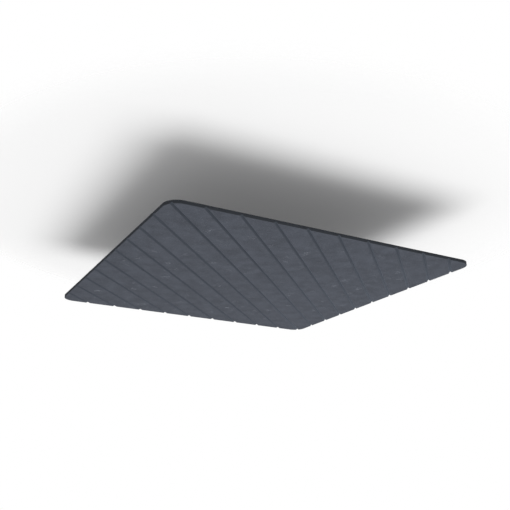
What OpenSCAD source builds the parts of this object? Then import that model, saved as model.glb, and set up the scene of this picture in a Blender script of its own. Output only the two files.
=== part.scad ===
// Suspended acoustic ceiling tile: one square board of pressed felt with rounded corners.
// Parallel V-grooves cross its lower face on the diagonal and run out through the edges.
// Millimetres. The origin is the centre of the upper face, +Z is up, and the board hangs below it.

/* [Board] */
// Side of the square board
board_side = 1195; // [595:5:1495]
// Thickness of the board
board_t = 12; // [9:0.5:25]
// Radius of the four corners, in plan
corner_r = 50; // [10:1:120]

/* [Grooves] */
// Distance from one groove to the next, along the edge
groove_pitch = 120; // [60:1:240]
// Depth of a groove, up from the lower face
groove_depth = 6; // [2:0.5:8]
// Included angle of the V
groove_angle = 90; // [60:1:120]

/* [Hidden] */
$fn = 96;
// How far a cutter reaches past the face or edge that it breaks through
cut_over = 2;
// The grooves run along the diagonal of the square
groove_bearing = 45;
// Half the width of a groove at a height h below its root
function half_width(h) = h * tan(groove_angle / 2);
// Width of a groove's mouth, along the edge
mouth_along_edge = 2 * half_width(groove_depth) / sin(groove_bearing);
// Along the edge, how much of each corner its rounding takes from a diagonal cut
corner_loss = corner_r * (2 - sqrt(2));
// Along the edge, how far from the diagonal the whole of a groove's mouth still lands on the board
groove_reach = board_side - corner_loss - mouth_along_edge / 2;
grooves_each_side = floor(groove_reach / groove_pitch);
// The middle groove lies on the diagonal, and the others are set out from it to both sides
groove_places = [for (i = [-grooves_each_side : grooves_each_side]) i * groove_pitch];
// Long enough to cross the board on its diagonal
groove_len = board_side * sqrt(2) + 2 * cut_over;
felt_colour = "#52565e";

// Plan of the board: a square whose corners are true quarter circles
module board_plan() {
    straight = board_side - 2 * corner_r;
    square([board_side, straight], center = true);
    square([straight, board_side], center = true);
    for (x = [-1, 1], y = [-1, 1])
        translate([x, y] * straight / 2)
            circle(r = corner_r);
}

// One V-shaped cutter along Y, with its root at the groove's depth above z = 0
module groove_cutter() {
    mouth = half_width(groove_depth + cut_over);
    rotate([90, 0, 0])
        linear_extrude(groove_len, center = true)
            polygon([[-mouth, -cut_over], [mouth, -cut_over], [0, groove_depth]]);
}

// All the cutters, set out square to the diagonal
module groove_field() {
    rotate(groove_bearing - 90)
        for (place = groove_places)
            translate([place * sin(groove_bearing), 0, 0])
                groove_cutter();
}

// The board, hung by its upper face, with the grooves cut up into its lower face
module felt_panel() {
    color(felt_colour)
        translate([0, 0, -board_t])
            difference() {
                linear_extrude(board_t)
                    board_plan();
                groove_field();
            }
}

felt_panel();
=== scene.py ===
"""Looks of a suspended ceiling tile: one square board of grey felt with diagonal V-grooves.

Everything is in metres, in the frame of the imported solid: the origin is the centre of the tile's
upper face and +Z is up, so the grooved face is at the lowest Z.
"""

import logging
import math
from dataclasses import dataclass
from enum import Enum
from typing import Any

import bpy
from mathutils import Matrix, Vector


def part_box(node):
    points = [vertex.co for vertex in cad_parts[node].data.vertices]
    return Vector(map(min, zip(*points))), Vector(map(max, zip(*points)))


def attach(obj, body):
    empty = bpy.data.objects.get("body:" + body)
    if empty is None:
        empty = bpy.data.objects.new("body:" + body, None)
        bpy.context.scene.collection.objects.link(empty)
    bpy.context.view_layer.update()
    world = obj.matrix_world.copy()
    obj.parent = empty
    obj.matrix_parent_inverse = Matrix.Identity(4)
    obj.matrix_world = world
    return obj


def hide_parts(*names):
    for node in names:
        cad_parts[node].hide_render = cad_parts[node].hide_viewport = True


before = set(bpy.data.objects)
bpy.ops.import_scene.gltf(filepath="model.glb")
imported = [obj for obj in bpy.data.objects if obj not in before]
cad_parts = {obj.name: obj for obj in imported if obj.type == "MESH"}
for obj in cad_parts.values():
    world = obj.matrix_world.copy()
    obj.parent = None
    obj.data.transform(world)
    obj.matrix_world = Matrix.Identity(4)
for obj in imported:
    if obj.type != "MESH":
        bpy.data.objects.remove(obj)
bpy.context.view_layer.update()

LOG = logging.getLogger("ceiling_tile")
MM = 0.001
BODY = "root"
PANEL_NODE = "felt_panel"
FIBRE_TONE = "tone"
WHITE = (1.0, 1.0, 1.0, 1.0)
IN_PLAN = (1.0, 1.0, 0.0)
QUARTER_TURN = math.pi / 2
EIGHTH_TURN = math.pi / 4
# Every noise lies between 0 and 1, around this value.
NOISE_MEAN = 0.5
# Sockets of a Mix node and of a Random Value node share their names, so these go by their index.
MIX_DARK, MIX_PALE, MIX_COLOUR = 6, 7, 2
RANDOM_LEAST, RANDOM_MOST, RANDOM_NUMBER = 2, 3, 1
# An edge that turns by more than this angle is sharp, and its round has this many faces.
ARRIS_ANGLE = math.radians(30)
ARRIS_SEGMENTS = 2
# A diagonal groove lies this share of a distance along an edge away, measured square to the groove.
SQUARE_ON = 1 / math.sqrt(2)
ACROSS_GROOVES = (SQUARE_ON, -SQUARE_ON, 0.0)


def linear(colour: str) -> tuple[float, float, float, float]:
    """Turn an sRGB hex colour into linear RGBA.

    Args:
        colour: Six hex digits with a leading #.

    Returns:
        The linear red, green and blue, and an alpha of 1.
    """
    parts = [int(colour[i:i + 2], 16) / 255 for i in (1, 3, 5)]
    red, green, blue = (c / 12.92 if c <= 0.04045 else ((c + 0.055) / 1.055) ** 2.4 for c in parts)
    return red, green, blue, 1.0


def per_size(size_mm: float) -> float:
    """Give the texture scale at which one cell of a noise is the given size in millimetres."""
    return 1.0 / (size_mm * MM)


def add_node(tree: bpy.types.NodeTree, kind: str, inputs: dict[str | int, Any] | None = None,
             **settings: Any) -> bpy.types.Node:
    """Add a node to a tree, with its settings, its input values and its links.

    Args:
        tree: Shader or geometry tree that gets the node.
        kind: Blender's type name of the node.
        inputs: Socket name or index to a value, a socket to link, or a list of sockets to link.
        settings: Properties of the node.

    Returns:
        The new node.
    """
    node = tree.nodes.new(kind)
    for name, value in settings.items():
        setattr(node, name, value)
    for key, value in (inputs or {}).items():
        sources = value if isinstance(value, list) else [value]
        if isinstance(sources[0], bpy.types.NodeSocket):
            for source in sources:
                tree.links.new(source, node.inputs[key])
        else:
            node.inputs[key].default_value = value
    return node


def start_shader(name: str) -> tuple[bpy.types.Material, bpy.types.NodeTree, bpy.types.NodeSocket]:
    """Make an empty material.

    Args:
        name: Name of the material.

    Returns:
        The material, its tree, and the socket of its output that takes the surface.
    """
    material = bpy.data.materials.new(name)
    material.use_nodes = True
    tree = material.node_tree
    tree.nodes.clear()
    output = add_node(tree, "ShaderNodeOutputMaterial")
    return material, tree, output.inputs["Surface"]


def start_geometry(name: str,
                   sizes: dict[str, float | int]) -> tuple[bpy.types.NodeTree, bpy.types.NodeOutputs]:
    """Make a geometry tree with a geometry input and one named input for each size.

    Args:
        name: Name of the tree.
        sizes: Name of each input, with the value that it gets.

    Returns:
        The tree and the outputs of its input node, by name.
    """
    tree = bpy.data.node_groups.new(name, "GeometryNodeTree")
    tree.interface.new_socket("Geometry", in_out="INPUT", socket_type="NodeSocketGeometry")
    tree.interface.new_socket("Geometry", in_out="OUTPUT", socket_type="NodeSocketGeometry")
    for size, value in sizes.items():
        kind = "NodeSocketInt" if isinstance(value, int) else "NodeSocketFloat"
        tree.interface.new_socket(size, in_out="INPUT", socket_type=kind)
    return tree, add_node(tree, "NodeGroupInput").outputs


def run_geometry(tree: bpy.types.NodeTree, sizes: dict[str, float | int], base: bpy.types.Mesh,
                 arris: float = 0.0) -> bpy.types.Mesh:
    """Run a geometry tree on a mesh and turn what it makes into a plain mesh.

    Args:
        tree: Tree from start_geometry.
        sizes: Value of each named input.
        base: Mesh that the tree starts from.
        arris: Width of a round on the sharp edges of the result, or 0 for none.

    Returns:
        The made mesh, with no modifier left.
    """
    maker = bpy.data.objects.new(tree.name, base)
    bpy.context.scene.collection.objects.link(maker)
    modifier = maker.modifiers.new(tree.name, "NODES")
    modifier.node_group = tree
    for item in tree.interface.items_tree:
        if item.in_out == "INPUT" and item.name in sizes:
            modifier[item.identifier] = sizes[item.name]
    if arris:
        soften = maker.modifiers.new("soft_arris", "BEVEL")
        soften.width = arris
        soften.segments = ARRIS_SEGMENTS
        soften.use_clamp_overlap = False
        soften.limit_method = "ANGLE"
        soften.angle_limit = ARRIS_ANGLE
    depsgraph = bpy.context.evaluated_depsgraph_get()
    made = bpy.data.meshes.new_from_object(maker.evaluated_get(depsgraph), depsgraph=depsgraph)
    bpy.data.objects.remove(maker)
    return made


def place_piece(name: str, mesh: bpy.types.Mesh, *replaced: str) -> bpy.types.Object:
    """Put a finished mesh in the scene as a piece of the tile.

    Args:
        name: Name of the piece.
        mesh: Its mesh, with its place in its vertices.
        replaced: Names of the solids that the piece stands for.

    Returns:
        The piece.
    """
    piece = bpy.data.objects.new(name, mesh)
    bpy.context.scene.collection.objects.link(piece)
    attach(piece, BODY)
    if replaced:
        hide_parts(*replaced)
    LOG.info("%s: %d faces", name, len(mesh.polygons))
    return piece


class Facing(Enum):
    """Which way a flat surface looks."""

    DOWN = -1
    UP = 1


@dataclass(frozen=True, kw_only=True)
class PolyesterFinish:
    """A matt surface of polyester fibre, to which each finish gives its own pattern.

    The fibre ends scatter nearly all of the gloss that smooth polyester has, so there is no highlight.
    """

    name: str
    roughness: float = 0.95
    ior: float = 1.57
    gloss: float = 0.03
    sheen: float = 0.0
    sheen_roughness: float = 0.4
    # What the fibre ends scatter at a low angle keeps a little of the dye's blue.
    sheen_tint: str = "#E1EBFF"
    nap_height_mm: float = 0.4
    nap_strength: float = 0.5

    def pattern(self, tree: bpy.types.NodeTree,
                place: bpy.types.NodeSocket) -> tuple[bpy.types.NodeSocket, bpy.types.NodeSocket]:
        """Build the finish's pattern.

        Args:
            tree: Tree of the material.
            place: Place on the piece.

        Returns:
            The colour and the height of the nap.
        """
        raise NotImplementedError

    def material(self) -> bpy.types.Material:
        """Build the finish's shader.

        Returns:
            The material.
        """
        material, tree, surface = start_shader(self.name)
        place = add_node(tree, "ShaderNodeTexCoord").outputs["Object"]
        colour, height = self.pattern(tree, place)
        bump = add_node(tree, "ShaderNodeBump",
                        {"Strength": self.nap_strength, "Distance": self.nap_height_mm * MM,
                         "Height": height})
        felt = add_node(tree, "ShaderNodeBsdfPrincipled",
                        {"Base Color": colour, "Roughness": self.roughness, "IOR": self.ior,
                         "Specular IOR Level": self.gloss, "Sheen Weight": self.sheen,
                         "Sheen Roughness": self.sheen_roughness, "Sheen Tint": linear(self.sheen_tint),
                         "Normal": bump.outputs[0]})
        tree.links.new(felt.outputs[0], surface)
        return material


@dataclass(frozen=True, kw_only=True)
class NeedledFelt(PolyesterFinish):
    """Polyester felt board, needle-punched and pressed flat.

    The fibres are dyed in a few greys before they are needled together. From a step away they mix to
    a dull slate with soft clouds in it; close by, single dark and pale threads wind over the face.
    """

    name: str = "needled_polyester_felt"
    dark: str = "#474A51"
    pale: str = "#565A63"
    dark_thread: str = "#383B42"
    pale_thread: str = "#7F848D"
    cloud_mm: float = 55.0
    cloud_detail: float = 3.0
    cloud_swirl: float = 0.4
    cloud_range: tuple[float, float] = (0.2, 0.8)
    # A real fibre is 0.03 mm thick; the threads and the nap are drawn as coarse as a close look needs.
    thread_mm: float = 9.0
    thread_detail: float = 1.0
    thread_swirl: float = 1.5
    thread_width: float = 0.018
    thread_weight: float = 0.24
    # How far the pale threads' pattern is moved from the dark threads' one.
    thread_offset_mm: float = 500.0
    nap_mm: float = 2.5
    nap_detail: float = 2.0
    nap_roughness: float = 0.6

    def pattern(self, tree: bpy.types.NodeTree,
                place: bpy.types.NodeSocket) -> tuple[bpy.types.NodeSocket, bpy.types.NodeSocket]:
        """Build clouds with threads over them.

        Args:
            tree: Tree of the material.
            place: Place on the piece.

        Returns:
            The colour and the height of the nap.
        """
        cloud = add_node(tree, "ShaderNodeTexNoise",
                         {"Vector": place, "Scale": per_size(self.cloud_mm), "Detail": self.cloud_detail,
                          "Distortion": self.cloud_swirl})
        low, high = self.cloud_range
        spread = add_node(tree, "ShaderNodeMapRange",
                          {"Value": cloud.outputs["Fac"], "From Min": low, "From Max": high})
        colour = add_node(tree, "ShaderNodeMix",
                          {0: spread.outputs[0], MIX_DARK: linear(self.dark), MIX_PALE: linear(self.pale)},
                          data_type="RGBA")
        for moved_mm, thread in ((0.0, self.dark_thread), (self.thread_offset_mm, self.pale_thread)):
            moved = add_node(tree, "ShaderNodeVectorMath", {0: place, 1: (moved_mm * MM,) * 3},
                             operation="ADD")
            winding = add_node(tree, "ShaderNodeTexNoise",
                               {"Vector": moved.outputs[0], "Scale": per_size(self.thread_mm),
                                "Detail": self.thread_detail, "Distortion": self.thread_swirl})
            on_line = add_node(tree, "ShaderNodeMath",
                               {0: winding.outputs["Fac"], 1: NOISE_MEAN, 2: self.thread_width},
                               operation="COMPARE")
            seen = add_node(tree, "ShaderNodeMath", {0: on_line.outputs[0], 1: self.thread_weight},
                            operation="MULTIPLY")
            colour = add_node(tree, "ShaderNodeMix",
                              {0: seen.outputs[0], MIX_DARK: colour.outputs[MIX_COLOUR],
                               MIX_PALE: linear(thread)}, data_type="RGBA")
        nap = add_node(tree, "ShaderNodeTexNoise",
                       {"Vector": place, "Scale": per_size(self.nap_mm), "Detail": self.nap_detail,
                        "Roughness": self.nap_roughness})
        return colour.outputs[MIX_COLOUR], nap.outputs["Fac"]


@dataclass(frozen=True, kw_only=True)
class CutFelt(PolyesterFinish):
    """The same felt where a blade or a router bit went through it.

    The cut opens the board's pressed layers, so there are fine streaks along them in place of threads.
    """

    dark: str
    pale: str
    layer_mm: float = 1.6
    streak_mm: float = 30.0
    streak_detail: float = 4.0
    streak_roughness: float = 0.7
    streak_range: tuple[float, float] = (0.3, 0.7)

    def pattern(self, tree: bpy.types.NodeTree,
                place: bpy.types.NodeSocket) -> tuple[bpy.types.NodeSocket, bpy.types.NodeSocket]:
        """Build level streaks.

        Args:
            tree: Tree of the material.
            place: Place on the piece.

        Returns:
            The colour and the height of the nap.
        """
        along = per_size(self.streak_mm)
        stretched = add_node(tree, "ShaderNodeMapping",
                             {"Vector": place, "Scale": (along, along, per_size(self.layer_mm))})
        streak = add_node(tree, "ShaderNodeTexNoise",
                          {"Vector": stretched.outputs[0], "Scale": 1.0, "Detail": self.streak_detail,
                           "Roughness": self.streak_roughness})
        low, high = self.streak_range
        spread = add_node(tree, "ShaderNodeMapRange",
                          {"Value": streak.outputs["Fac"], "From Min": low, "From Max": high})
        colour = add_node(tree, "ShaderNodeMix",
                          {0: spread.outputs[0], MIX_DARK: linear(self.dark), MIX_PALE: linear(self.pale)},
                          data_type="RGBA")
        return colour.outputs[MIX_COLOUR], streak.outputs["Fac"]


@dataclass(frozen=True, kw_only=True)
class RoutedFelt(CutFelt):
    """Felt that a router bit has cut into the flank of a groove.

    The bit leaves the fibre ends loose like a short velvet, whose sheen pales the flank to look along. Its
    colours are darker than the face's: painted shade in the grooves.
    """

    name: str = "routed_felt_painted_shade"
    # Darker than the face's colours: painted shade in the grooves.
    dark: str = "#3E4249"
    pale: str = "#484D55"
    sheen: float = 0.36


@dataclass(frozen=True, kw_only=True)
class SawnFelt(CutFelt):
    """Felt that a blade has cut along the rim.

    Its colours are darker than the faces': painted shade on the upright rim.
    """

    name: str = "sawn_felt_painted_shade"
    # Darker than the faces' colours: painted shade on the rim.
    dark: str = "#404349"
    pale: str = "#4E5258"


@dataclass(frozen=True, kw_only=True)
class LooseFibre(PolyesterFinish):
    """Single polyester fibres that the needles have drawn up out of the felt.

    Some are paler than the rest of the felt, so each shows as a short light curl. How light it is
    differs from tuft to tuft and is stored on the fibres.
    """

    name: str = "drawn_polyester_fibre"
    roughness: float = 0.8
    gloss: float = 0.2
    dull: str = "#53575F"
    bright: str = "#878C96"
    crimp_mm: float = 1.5

    def pattern(self, tree: bpy.types.NodeTree,
                place: bpy.types.NodeSocket) -> tuple[bpy.types.NodeSocket, bpy.types.NodeSocket]:
        """Build an even colour by the fibre's tone.

        Args:
            tree: Tree of the material.
            place: Place on the piece.

        Returns:
            The colour and the height of the fibre's crimp.
        """
        tone = add_node(tree, "ShaderNodeAttribute", attribute_name=FIBRE_TONE)
        colour = add_node(tree, "ShaderNodeMix",
                          {0: tone.outputs["Fac"], MIX_DARK: linear(self.dull),
                           MIX_PALE: linear(self.bright)}, data_type="RGBA")
        crimp = add_node(tree, "ShaderNodeTexNoise", {"Vector": place, "Scale": per_size(self.crimp_mm)})
        return colour.outputs[MIX_COLOUR], crimp.outputs["Fac"]


@dataclass(frozen=True)
class Finishes:
    """The finished materials of the tile."""

    face: bpy.types.Material
    flank: bpy.types.Material
    rim: bpy.types.Material
    fibre: bpy.types.Material

    @classmethod
    def mix(cls) -> "Finishes":
        """Build every finish once."""
        return cls(face=NeedledFelt().material(), flank=RoutedFelt().material(), rim=SawnFelt().material(),
                   fibre=LooseFibre().material())


@dataclass
class GroovedBoard:
    """The tile's one piece: a square felt board with round corners and V-grooves across its lower face."""

    low: Vector
    high: Vector
    corner_radius: float = 50 * MM
    groove_pitch: float = 120 * MM
    groove_depth: float = 6 * MM
    groove_angle: float = math.radians(90)
    arris: float = 0.7 * MM
    overcut: float = 2 * MM
    # An odd number, so that no corner of the outline falls in the root of the diagonal groove.
    corner_steps: int = 15
    # A surface is a flank where it is less level than this, and the rim where it stands nearly upright.
    flank_level: float = 0.9
    rim_level: float = 0.1
    weld: float = 0.01 * MM
    # Faces that meet at a larger angle than this keep a sharp edge between them.
    smooth_limit: float = math.radians(25)

    @property
    def side(self) -> float:
        """Side of the square board."""
        return self.high.x - self.low.x

    @property
    def half_mouth(self) -> float:
        """Half the width of a groove's mouth."""
        return self.groove_depth * math.tan(self.groove_angle / 2)

    @property
    def groove_spacing(self) -> float:
        """From one groove to the next, square to them."""
        return self.groove_pitch * SQUARE_ON

    @property
    def grooves_each_side(self) -> int:
        """Number of grooves beside the diagonal one whose whole mouth lands on the board."""
        margin = self.corner_radius * (2 - math.sqrt(2)) + self.half_mouth / SQUARE_ON
        return int((self.side - margin) / self.groove_pitch)

    def sizes(self) -> dict[str, float | int]:
        """Work out the sizes for the geometry tree.

        Returns:
            The value of each named input.
        """
        reach = self.groove_depth + self.overcut
        return {
            "Side": self.side,
            "Bottom": self.low.z,
            "Thickness": self.high.z - self.low.z,
            "Corner Radius": self.corner_radius,
            "Corner Steps": self.corner_steps,
            "Groove Count": 2 * self.grooves_each_side + 1,
            "First Groove": -self.grooves_each_side * self.groove_spacing,
            "Groove Step": self.groove_spacing,
            "Cutter Reach": reach,
            "Cutter Width": 2 * reach * math.tan(self.groove_angle / 2),
            "Cutter Length": self.side / SQUARE_ON + 2 * self.overcut,
            "Cutter Centre": self.low.z - self.overcut,
            "Flank Level": self.flank_level,
            "Rim Level": self.rim_level,
            "Weld": self.weld,
        }

    @staticmethod
    def prism(tree: bpy.types.NodeTree, given: bpy.types.NodeOutputs, outline: bpy.types.NodeSocket,
              height: bpy.types.NodeSocket) -> bpy.types.NodeSocket:
        """Extrude a flat outline upwards into a closed prism.

        Args:
            tree: Geometry tree.
            given: The tree's inputs, by name.
            outline: Closed curve in the XY plane.
            height: Height of the prism.

        Returns:
            The prism's mesh.
        """
        lid = add_node(tree, "GeometryNodeFillCurve", {"Curve": outline}, mode="NGONS").outputs[0]
        walls = add_node(tree, "GeometryNodeExtrudeMesh",
                         {"Mesh": lid, "Offset Scale": height, "Individual": False})
        floor = add_node(tree, "GeometryNodeFlipFaces", {"Mesh": lid})
        both = add_node(tree, "GeometryNodeJoinGeometry", {"Geometry": [walls.outputs[0], floor.outputs[0]]})
        return add_node(tree, "GeometryNodeMergeByDistance",
                        {"Geometry": both.outputs[0], "Distance": given["Weld"]}).outputs[0]

    def blank(self, tree: bpy.types.NodeTree, given: bpy.types.NodeOutputs) -> bpy.types.NodeSocket:
        """Make the board before it is grooved.

        Args:
            tree: Geometry tree.
            given: The tree's inputs, by name.

        Returns:
            The blank's mesh.
        """
        square = add_node(tree, "GeometryNodeCurvePrimitiveQuadrilateral",
                          {"Width": given["Side"], "Height": given["Side"]}, mode="RECTANGLE")
        plan = add_node(tree, "GeometryNodeFilletCurve",
                        {"Curve": square.outputs[0], "Count": given["Corner Steps"],
                         "Radius": given["Corner Radius"]}, mode="POLY")
        drop = add_node(tree, "ShaderNodeCombineXYZ", {"Z": given["Bottom"]})
        solid = self.prism(tree, given, plan.outputs[0], given["Thickness"])
        return add_node(tree, "GeometryNodeTransform",
                        {"Geometry": solid, "Translation": drop.outputs[0]}).outputs[0]

    def cutters(self, tree: bpy.types.NodeTree, given: bpy.types.NodeOutputs) -> bpy.types.NodeSocket:
        """Make one long cutter and set it out along every groove.

        Args:
            tree: Geometry tree.
            given: The tree's inputs, by name.

        Returns:
            The mesh of all the cutters.
        """
        section = add_node(tree, "GeometryNodeCurvePrimitiveQuadrilateral",
                           {"Width": given["Cutter Width"], "Bottom Height": given["Cutter Reach"],
                            "Top Height": given["Cutter Reach"]}, mode="KITE")
        half = add_node(tree, "ShaderNodeMath", {0: given["Cutter Length"], 1: 0.5}, operation="MULTIPLY")
        back = add_node(tree, "ShaderNodeCombineXYZ", {"Y": half.outputs[0], "Z": given["Cutter Centre"]})
        bar = self.prism(tree, given, section.outputs[0], given["Cutter Length"])
        cutter = add_node(tree, "GeometryNodeTransform",
                          {"Geometry": bar, "Translation": back.outputs[0],
                           "Rotation": (QUARTER_TURN, 0.0, 0.0)})
        first = add_node(tree, "ShaderNodeCombineXYZ", {"X": given["First Groove"]})
        step = add_node(tree, "ShaderNodeCombineXYZ", {"X": given["Groove Step"]})
        places = add_node(tree, "GeometryNodeMeshLine",
                          {"Count": given["Groove Count"], "Start Location": first.outputs[0],
                           "Offset": step.outputs[0]}, mode="OFFSET")
        row = add_node(tree, "GeometryNodeInstanceOnPoints",
                       {"Points": places.outputs[0], "Instance": cutter.outputs[0]})
        turned = add_node(tree, "GeometryNodeTransform",
                          {"Geometry": row.outputs[0], "Rotation": (0.0, 0.0, -EIGHTH_TURN)})
        return add_node(tree, "GeometryNodeRealizeInstances", {"Geometry": turned.outputs[0]}).outputs[0]

    def dress(self, tree: bpy.types.NodeTree, given: bpy.types.NodeOutputs, mesh: bpy.types.NodeSocket,
              finishes: Finishes) -> bpy.types.NodeSocket:
        """Give the faces, the flanks of the grooves and the rim their finishes, by the way they look.

        Args:
            tree: Geometry tree.
            given: The tree's inputs, by name.
            mesh: The grooved board.
            finishes: The tile's finishes.

        Returns:
            The dressed mesh.
        """
        normal = add_node(tree, "GeometryNodeInputNormal").outputs["True Normal"]
        parts = add_node(tree, "ShaderNodeSeparateXYZ", {0: normal})
        level = add_node(tree, "ShaderNodeMath", {0: parts.outputs["Z"]}, operation="ABSOLUTE")
        is_flank = add_node(tree, "FunctionNodeCompare", {0: level.outputs[0], 1: given["Flank Level"]},
                            operation="LESS_THAN")
        is_rim = add_node(tree, "FunctionNodeCompare", {0: level.outputs[0], 1: given["Rim Level"]},
                          operation="LESS_THAN")
        dressed = add_node(tree, "GeometryNodeSetMaterial", {"Geometry": mesh, "Material": finishes.face})
        for chosen, finish in ((is_flank, finishes.flank), (is_rim, finishes.rim)):
            dressed = add_node(tree, "GeometryNodeSetMaterial",
                               {"Geometry": dressed.outputs[0], "Selection": chosen.outputs[0],
                                "Material": finish})
        return dressed.outputs[0]

    def tree(self, finishes: Finishes) -> bpy.types.NodeTree:
        """Build the tree that makes the board, cuts its grooves and dresses it.

        Args:
            finishes: The tile's finishes.

        Returns:
            The geometry tree.
        """
        tree, given = start_geometry("grooved_board", self.sizes())
        grooved = add_node(tree, "GeometryNodeMeshBoolean",
                           {"Mesh 1": self.blank(tree, given), "Mesh 2": self.cutters(tree, given)},
                           operation="DIFFERENCE", solver="EXACT")
        whole = add_node(tree, "GeometryNodeRealizeInstances", {"Geometry": grooved.outputs[0]})
        add_node(tree, "NodeGroupOutput", {0: self.dress(tree, given, whole.outputs[0], finishes)})
        return tree

    def build(self, finishes: Finishes) -> bpy.types.Object:
        """Make the board and let it stand for its solid.

        Args:
            finishes: The tile's finishes.

        Returns:
            The board.
        """
        start = bpy.data.meshes.new("board_start")
        mesh = run_geometry(self.tree(finishes), self.sizes(), start, self.arris)
        mesh.shade_smooth()
        mesh.set_sharp_from_angle(angle=self.smooth_limit)
        return place_piece("felt_board", mesh, PANEL_NODE)


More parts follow.
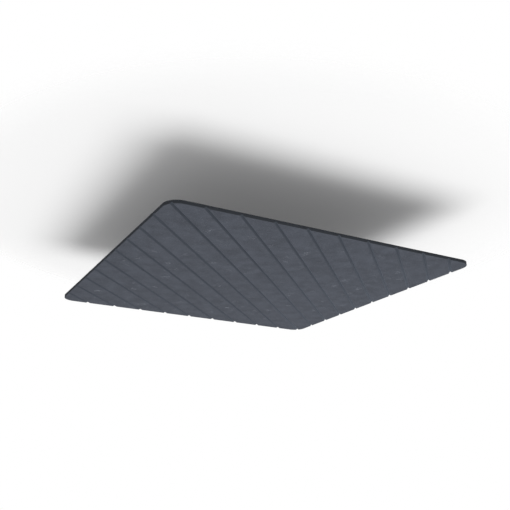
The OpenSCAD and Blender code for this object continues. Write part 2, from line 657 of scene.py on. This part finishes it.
@dataclass
class FibreNap:
    """Tufts of loose fibres that lie curled on one face of the board, with their ends sunk in the felt."""

    name: str
    board: GroovedBoard
    facing: Facing
    seed: int
    tufts_per_square_metre: float = 110.0
    fibres_per_tuft: int = 8
    tuft_radius: float = 12 * MM
    length: float = 46 * MM
    shortest: float = 0.4
    # Drawn about 30 times thicker than a real fibre, so that the curls show in the picture.
    radius: float = 0.5 * MM
    end_taper: float = 0.5
    curl: float = 14 * MM
    curl_cell_mm: float = 20.0
    end_depth: float = 1.2 * MM
    # A power above 1 makes the brightest tufts rare.
    tone_power: float = 1.2
    steps: int = 10
    sides: int = 3
    # A surface is the face to scatter on where it looks that way as squarely as this.
    face_level: float = 0.99

    def sizes(self) -> dict[str, float | int]:
        """Work out the sizes for the geometry tree; only the lower face has grooves to keep fibres out of.

        Returns:
            The value of each named input.
        """
        has_grooves = self.facing is Facing.DOWN
        return {
            "Facing": float(self.facing.value),
            "Face Level": self.face_level,
            "Seed": self.seed,
            "Density": self.tufts_per_square_metre,
            "Tuft Fibres": self.fibres_per_tuft,
            "Tuft Radius": self.tuft_radius,
            "Tone Power": self.tone_power,
            "Field": self.board.side / 2 - self.length / 2 - self.curl - self.tuft_radius,
            "Half Length": self.length / 2,
            "Shortest": self.shortest,
            "Radius": self.radius,
            "End Taper": self.end_taper,
            "Steps": self.steps,
            "Sides": self.sides,
            "Curl": self.curl / NOISE_MEAN,
            "Curl Scale": per_size(self.curl_cell_mm),
            "End Depth": self.end_depth,
            "Half Spacing": self.board.groove_spacing / 2,
            "Half Mouth": self.board.half_mouth + self.radius,
            "Groove Clear": self.board.groove_depth + 2 * self.radius if has_grooves else 0.0,
        }

    @staticmethod
    def tufts(tree: bpy.types.NodeTree, given: bpy.types.NodeOutputs) -> bpy.types.NodeSocket:
        """Scatter tufts over one face, clear of the rim, each with its own tone.

        Args:
            tree: Geometry tree.
            given: The tree's inputs, by name.

        Returns:
            One point for each fibre.
        """
        normal = add_node(tree, "GeometryNodeInputNormal").outputs["True Normal"]
        parts = add_node(tree, "ShaderNodeSeparateXYZ", {0: normal})
        outward = add_node(tree, "ShaderNodeMath", {0: parts.outputs["Z"], 1: given["Facing"]},
                           operation="MULTIPLY")
        on_face = add_node(tree, "FunctionNodeCompare", {0: outward.outputs[0], 1: given["Face Level"]},
                           operation="GREATER_THAN")
        points = add_node(tree, "GeometryNodeDistributePointsOnFaces",
                          {"Mesh": given["Geometry"], "Selection": on_face.outputs[0],
                           "Density": given["Density"], "Seed": given["Seed"]}, distribute_method="RANDOM")
        here = add_node(tree, "GeometryNodeInputPosition").outputs[0]
        away = add_node(tree, "ShaderNodeVectorMath", {0: here}, operation="ABSOLUTE")
        spot = add_node(tree, "ShaderNodeSeparateXYZ", {0: away.outputs[0]})
        farther = add_node(tree, "ShaderNodeMath", {0: spot.outputs["X"], 1: spot.outputs["Y"]},
                           operation="MAXIMUM")
        in_field = add_node(tree, "FunctionNodeCompare", {0: farther.outputs[0], 1: given["Field"]},
                            operation="LESS_THAN")
        chance = add_node(tree, "FunctionNodeRandomValue",
                          {RANDOM_LEAST: 0.0, RANDOM_MOST: 1.0, "Seed": given["Seed"]}, data_type="FLOAT")
        tone = add_node(tree, "ShaderNodeMath", {0: chance.outputs[RANDOM_NUMBER], 1: given["Tone Power"]},
                        operation="POWER")
        toned = add_node(tree, "GeometryNodeStoreNamedAttribute",
                         {"Geometry": points.outputs[0], "Name": FIBRE_TONE, "Value": tone.outputs[0]},
                         data_type="FLOAT", domain="POINT")
        many = add_node(tree, "GeometryNodeDuplicateElements",
                        {"Geometry": toned.outputs[0], "Selection": in_field.outputs[0],
                         "Amount": given["Tuft Fibres"]}, domain="POINT")
        aside = add_node(tree, "FunctionNodeRandomValue",
                         {"Min": (-1.0, -1.0, 0.0), "Max": IN_PLAN, "Seed": given["Seed"]},
                         data_type="FLOAT_VECTOR")
        stray = add_node(tree, "ShaderNodeVectorMath", {0: aside.outputs[0], "Scale": given["Tuft Radius"]},
                         operation="SCALE")
        return add_node(tree, "GeometryNodeSetPosition",
                        {"Geometry": many.outputs[0], "Offset": stray.outputs[0]}).outputs[0]

    @staticmethod
    def strands(tree: bpy.types.NodeTree, given: bpy.types.NodeOutputs,
                points: bpy.types.NodeSocket) -> bpy.types.NodeSocket:
        """Lay a straight strand on every point, each with its own turn and length.

        Args:
            tree: Geometry tree.
            given: The tree's inputs, by name.
            points: One point for each fibre.

        Returns:
            The strands, as curves.
        """
        backward = add_node(tree, "ShaderNodeMath", {0: given["Half Length"], 1: -1.0}, operation="MULTIPLY")
        start = add_node(tree, "ShaderNodeCombineXYZ", {"X": backward.outputs[0]})
        end = add_node(tree, "ShaderNodeCombineXYZ", {"X": given["Half Length"]})
        line = add_node(tree, "GeometryNodeCurvePrimitiveLine",
                        {"Start": start.outputs[0], "End": end.outputs[0]})
        strand = add_node(tree, "GeometryNodeResampleCurve",
                          {"Curve": line.outputs[0], "Count": given["Steps"]})
        turn = add_node(tree, "FunctionNodeRandomValue",
                        {"Min": (0.0, 0.0, 0.0), "Max": (0.0, 0.0, math.tau), "Seed": given["Seed"]},
                        data_type="FLOAT_VECTOR")
        stretch = add_node(tree, "FunctionNodeRandomValue",
                           {RANDOM_LEAST: given["Shortest"], RANDOM_MOST: 1.0, "Seed": given["Seed"]},
                           data_type="FLOAT")
        laid = add_node(tree, "GeometryNodeInstanceOnPoints",
                        {"Points": points, "Instance": strand.outputs[0], "Rotation": turn.outputs[0],
                         "Scale": stretch.outputs[RANDOM_NUMBER]})
        return add_node(tree, "GeometryNodeRealizeInstances", {"Geometry": laid.outputs[0]}).outputs[0]

    @staticmethod
    def bed(tree: bpy.types.NodeTree, given: bpy.types.NodeOutputs, strands: bpy.types.NodeSocket,
            bend: bpy.types.NodeSocket) -> bpy.types.NodeSocket:
        """Curl the strands along the face, and sink their ends and what would hang in a groove.

        Args:
            tree: Geometry tree.
            given: The tree's inputs, by name.
            strands: Straight strands.
            bend: 0 at the middle of a strand and 1 at its ends.

        Returns:
            The curled strands.
        """
        here = add_node(tree, "GeometryNodeInputPosition").outputs[0]
        wander = add_node(tree, "ShaderNodeTexNoise",
                          {"Vector": here, "Scale": given["Curl Scale"], "Detail": 0.0})
        swing = add_node(tree, "ShaderNodeVectorMath", {0: wander.outputs["Color"], 1: (NOISE_MEAN,) * 3},
                         operation="SUBTRACT")
        level = add_node(tree, "ShaderNodeVectorMath", {0: swing.outputs[0], 1: IN_PLAN},
                         operation="MULTIPLY")
        shift = add_node(tree, "ShaderNodeVectorMath", {0: level.outputs[0], "Scale": given["Curl"]},
                         operation="SCALE")
        curled = add_node(tree, "GeometryNodeSetPosition", {"Geometry": strands, "Offset": shift.outputs[0]})
        place = add_node(tree, "ShaderNodeVectorMath", {0: here, 1: ACROSS_GROOVES}, operation="DOT_PRODUCT")
        nearest = add_node(tree, "ShaderNodeMath", {0: place.outputs["Value"], 1: given["Half Spacing"]},
                           operation="PINGPONG")
        in_mouth = add_node(tree, "ShaderNodeMath", {0: nearest.outputs[0], 1: given["Half Mouth"]},
                            operation="LESS_THAN")
        end_sink = add_node(tree, "ShaderNodeMath", {0: bend, 1: given["End Depth"]}, operation="MULTIPLY")
        sink = add_node(tree, "ShaderNodeMath",
                        {0: in_mouth.outputs[0], 1: given["Groove Clear"], 2: end_sink.outputs[0]},
                        operation="MULTIPLY_ADD")
        inward = add_node(tree, "ShaderNodeMath", {0: given["Facing"], 1: -1.0}, operation="MULTIPLY")
        depth = add_node(tree, "ShaderNodeMath", {0: sink.outputs[0], 1: inward.outputs[0]},
                         operation="MULTIPLY")
        down = add_node(tree, "ShaderNodeCombineXYZ", {"Z": depth.outputs[0]})
        return add_node(tree, "GeometryNodeSetPosition",
                        {"Geometry": curled.outputs[0], "Offset": down.outputs[0]}).outputs[0]

    def tree(self, finish: bpy.types.Material) -> bpy.types.NodeTree:
        """Build the tree that scatters, curls and thickens the fibres.

        Args:
            finish: Finish of the fibres.

        Returns:
            The geometry tree.
        """
        tree, given = start_geometry(self.name, self.sizes())
        run = add_node(tree, "GeometryNodeSplineParameter").outputs["Factor"]
        signed = add_node(tree, "ShaderNodeMath", {0: run, 1: 2.0, 2: -1.0}, operation="MULTIPLY_ADD")
        bend = add_node(tree, "ShaderNodeMath", {0: signed.outputs[0], 1: signed.outputs[0]},
                        operation="MULTIPLY")
        strands = self.strands(tree, given, self.tufts(tree, given))
        bedded = self.bed(tree, given, strands, bend.outputs[0])
        ring = add_node(tree, "GeometryNodeCurvePrimitiveCircle",
                        {"Resolution": given["Sides"], "Radius": given["Radius"]}, mode="RADIUS")
        lost = add_node(tree, "ShaderNodeMath", {0: bend.outputs[0], 1: given["End Taper"]},
                        operation="MULTIPLY")
        taper = add_node(tree, "ShaderNodeMath", {0: 1.0, 1: lost.outputs[0]}, operation="SUBTRACT")
        skin = add_node(tree, "GeometryNodeCurveToMesh",
                        {"Curve": bedded, "Profile Curve": ring.outputs[0], "Scale": taper.outputs[0],
                         "Fill Caps": True})
        whole = add_node(tree, "GeometryNodeRealizeInstances", {"Geometry": skin.outputs[0]})
        dressed = add_node(tree, "GeometryNodeSetMaterial",
                           {"Geometry": whole.outputs[0], "Material": finish})
        add_node(tree, "NodeGroupOutput", {0: dressed.outputs[0]})
        return tree

    def build(self, felt: bpy.types.Object, finish: bpy.types.Material) -> bpy.types.Object:
        """Scatter the fibres over the board.

        Args:
            felt: The finished board.
            finish: Finish of the fibres.

        Returns:
            The fibres.
        """
        mesh = run_geometry(self.tree(finish), self.sizes(), felt.data.copy())
        mesh.shade_smooth()
        return place_piece(self.name, mesh)


@dataclass(frozen=True)
class PhotoCamera:
    """Camera at the place from which the tile is seen from below."""

    place: tuple[float, float, float] = (-1.2883, -2.3629, -0.8398)
    heading_deg: float = 61.073
    pitch_deg: float = 19.395
    lens_mm: float = 50.0
    sensor_mm: float = 36.0

    def build(self) -> None:
        """Make the camera and hand it to the scene."""
        data = bpy.data.cameras.new("camera")
        data.lens = self.lens_mm
        data.sensor_width = self.sensor_mm
        camera = bpy.data.objects.new("camera", data)
        camera.location = self.place
        # An unturned camera looks straight down, with the top of its picture to +Y.
        tilt = QUARTER_TURN + math.radians(self.pitch_deg)
        turn = math.radians(self.heading_deg) - QUARTER_TURN
        camera.rotation_euler = (tilt, 0.0, turn)
        bpy.context.scene.collection.objects.link(camera)
        bpy.context.scene.camera = camera


@dataclass(frozen=True)
class SoftLamp:
    """A large square studio lamp that looks straight at the tile."""

    name: str
    place: tuple[float, float, float]
    side: float
    level: float
    # How many times the lamp's light may bounce before it reaches the eye.
    bounces: int = 12

    def power(self, distance: float) -> float:
        """Work out the power that lights a facing surface to the lamp's level.

        Args:
            distance: From the lamp to the surface.

        Returns:
            Power in watts; a level of 1 shows a colour as it is written.
        """
        slope = (self.side / 2) / math.hypot(self.side / 2, distance)
        # View factor of a square that faces the surface.
        seen = 4 / math.pi * slope * math.atan(slope)
        return self.level / seen * math.pi * self.side ** 2

    def build(self) -> None:
        """Make the lamp, unseen by the camera."""
        data = bpy.data.lights.new(self.name, "AREA")
        data.shape = "SQUARE"
        data.size = self.side
        place = Vector(self.place)
        data.energy = self.power(place.length)
        data.cycles.max_bounces = self.bounces
        lamp = bpy.data.objects.new(self.name, data)
        lamp.location = place
        lamp.rotation_euler = (-place).to_track_quat("-Z", "Y").to_euler()
        lamp.visible_camera = False
        bpy.context.scene.collection.objects.link(lamp)


@dataclass(frozen=True)
class Stage:
    """Pale ceiling and pale floor, each of which keeps the tile's shadow, and soft light."""

    ceiling_height: float = 0.227
    floor_height: float = -1.25
    reach: float = 6.0
    fade_start: float = 1.0
    fade_end: float = 1.25
    pale: str = "#FEFEFE"
    # Share of the paint's white that is there in the shadow too.
    glow: float = 0.09
    ambient_below: float = 0.465
    ambient_above: float = 0.09
    # The ambient light changes over between the directions that rise by these shares of their length.
    ambient_turn: tuple[float, float] = (0.1, 0.4)
    lamps: tuple[SoftLamp, ...] = (
        SoftLamp("lamp_below", place=(1.07, -0.45, -6.4), side=7.0, level=0.555),
        # Its light stays on what it reaches, so the felt's slate colour doesn't tint the ceiling's shadow.
        SoftLamp("lamp_above", place=(0.0, 0.0, 20.0), side=12.0, level=0.92, bounces=0),
    )

    def material(self) -> bpy.types.Material:
        """Build a pale matt paint that shows on its face side only and fades out into the white around it.

        Returns:
            The paint.
        """
        material, tree, surface = start_shader("pale_stage_paint")
        matt = add_node(tree, "ShaderNodeBsdfDiffuse", {"Color": linear(self.pale)})
        seen = add_node(tree, "ShaderNodeLightPath").outputs["Is Camera Ray"]
        light = add_node(tree, "ShaderNodeEmission", {"Color": WHITE, "Strength": seen})
        paint = add_node(tree, "ShaderNodeMixShader",
                         {0: self.glow, 1: matt.outputs[0], 2: light.outputs[0]})
        place = add_node(tree, "ShaderNodeTexCoord").outputs["Object"]
        flat = add_node(tree, "ShaderNodeVectorMath", {0: place, 1: IN_PLAN}, operation="MULTIPLY")
        distance = add_node(tree, "ShaderNodeVectorMath", {0: flat.outputs[0]}, operation="LENGTH")
        fade = add_node(tree, "ShaderNodeMapRange",
                        {"Value": distance.outputs["Value"], "From Min": self.fade_start,
                         "From Max": self.fade_end}, interpolation_type="SMOOTHSTEP")
        behind = add_node(tree, "ShaderNodeNewGeometry").outputs["Backfacing"]
        clear = add_node(tree, "ShaderNodeMath", {0: fade.outputs[0], 1: behind}, operation="MAXIMUM")
        nothing = add_node(tree, "ShaderNodeBsdfTransparent")
        shown = add_node(tree, "ShaderNodeMixShader",
                         {0: clear.outputs[0], 1: paint.outputs[0], 2: nothing.outputs[0]})
        tree.links.new(shown.outputs[0], surface)
        return material

    def sheet(self, name: str, height: float, facing: Facing, paint: bpy.types.Material) -> None:
        """Make one flat sheet of the stage, which neither lights nor shades the tile.

        Args:
            name: Name of the sheet.
            height: Its height.
            facing: The way that its painted side looks.
            paint: Its finish.
        """
        corners = [(x * self.reach, y * self.reach, height) for x, y in ((-1, -1), (1, -1), (1, 1), (-1, 1))]
        mesh = bpy.data.meshes.new(name)
        mesh.from_pydata(corners[::facing.value], [], [(0, 1, 2, 3)])
        mesh.materials.append(paint)
        sheet = bpy.data.objects.new(name, mesh)
        sheet.visible_diffuse = False
        sheet.visible_shadow = False
        bpy.context.scene.collection.objects.link(sheet)

    def world(self) -> None:
        """Make a world that is white to look at and gives a weaker light, most of it from below."""
        world = bpy.data.worlds.new("white_surround")
        world.use_nodes = True
        tree = world.node_tree
        tree.nodes.clear()
        path = add_node(tree, "ShaderNodeLightPath").outputs
        mirrored = add_node(tree, "ShaderNodeMath",
                            {0: path["Is Glossy Ray"], 1: path["Is Transmission Ray"]}, operation="MAXIMUM")
        looked_at = add_node(tree, "ShaderNodeMath", {0: path["Is Camera Ray"], 1: mirrored.outputs[0]},
                             operation="MAXIMUM")
        toward = add_node(tree, "ShaderNodeSeparateXYZ",
                          {0: add_node(tree, "ShaderNodeTexCoord").outputs["Generated"]})
        low, high = self.ambient_turn
        graded = add_node(tree, "ShaderNodeMapRange",
                          {"Value": toward.outputs["Z"], "From Min": low, "From Max": high,
                           "To Min": self.ambient_below, "To Max": self.ambient_above})
        soft = add_node(tree, "ShaderNodeBackground", {"Color": WHITE, "Strength": graded.outputs[0]})
        white = add_node(tree, "ShaderNodeBackground", {"Color": WHITE, "Strength": 1.0})
        shown = add_node(tree, "ShaderNodeMixShader",
                         {0: looked_at.outputs[0], 1: soft.outputs[0], 2: white.outputs[0]})
        add_node(tree, "ShaderNodeOutputWorld", {"Surface": shown.outputs[0]})
        bpy.context.scene.world = world

    def build(self) -> None:
        """Make the ceiling, the floor, the lamps and the world."""
        paint = self.material()
        self.sheet("ceiling", self.ceiling_height, Facing.DOWN, paint)
        self.sheet("floor", self.floor_height, Facing.UP, paint)
        for lamp in self.lamps:
            lamp.build()
        self.world()
        bpy.context.scene.view_settings.view_transform = "Standard"


def main() -> None:
    """Build the tile, then its stage."""
    logging.basicConfig(level=logging.INFO, format="%(name)s: %(message)s")
    low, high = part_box(PANEL_NODE)
    finishes = Finishes.mix()
    board = GroovedBoard(Vector(low), Vector(high))
    felt = board.build(finishes)
    FibreNap("face_fibres", board, Facing.DOWN, seed=11).build(felt, finishes.fibre)
    FibreNap("back_fibres", board, Facing.UP, seed=23).build(felt, finishes.fibre)
    PhotoCamera().build()
    Stage().build()


if __name__ == "__main__":
    main()
